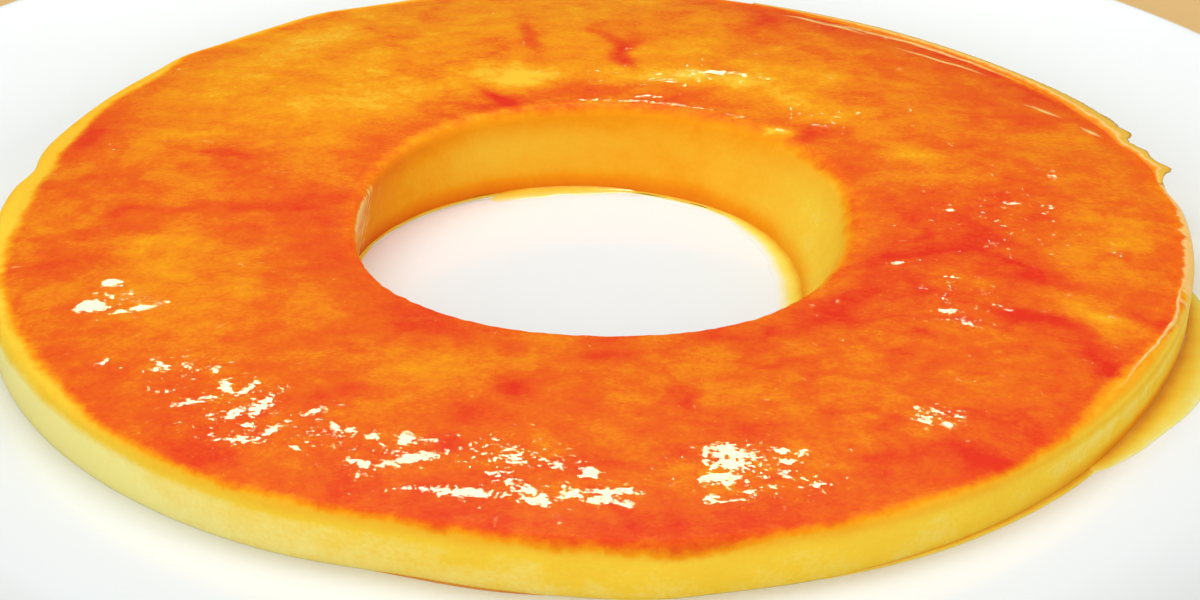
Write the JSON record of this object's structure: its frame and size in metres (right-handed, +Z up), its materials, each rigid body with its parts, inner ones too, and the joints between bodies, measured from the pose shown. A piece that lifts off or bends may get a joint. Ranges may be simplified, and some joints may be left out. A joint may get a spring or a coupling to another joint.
{
  "type": "leche flan ring on a serving plate",
  "caption": "Ring-shaped caramel custard turned out on a round white coupe serving plate, with a hole through its middle.",
  "frame": {"origin": "middle of the plate's foot ring, at the level of the table it stands on", "axes": "+Z up, -Y towards the eater, +X to the eater's right"},
  "size_m": [0.3558, 0.3558, 0.024],
  "materials": {
    "plate_glaze": "gloss",
    "custard": "gloss"
  },
  "bodies": {
    "root": {"plate": "plate_glaze", "custard": "custard"}
  },
  "joints": []
}
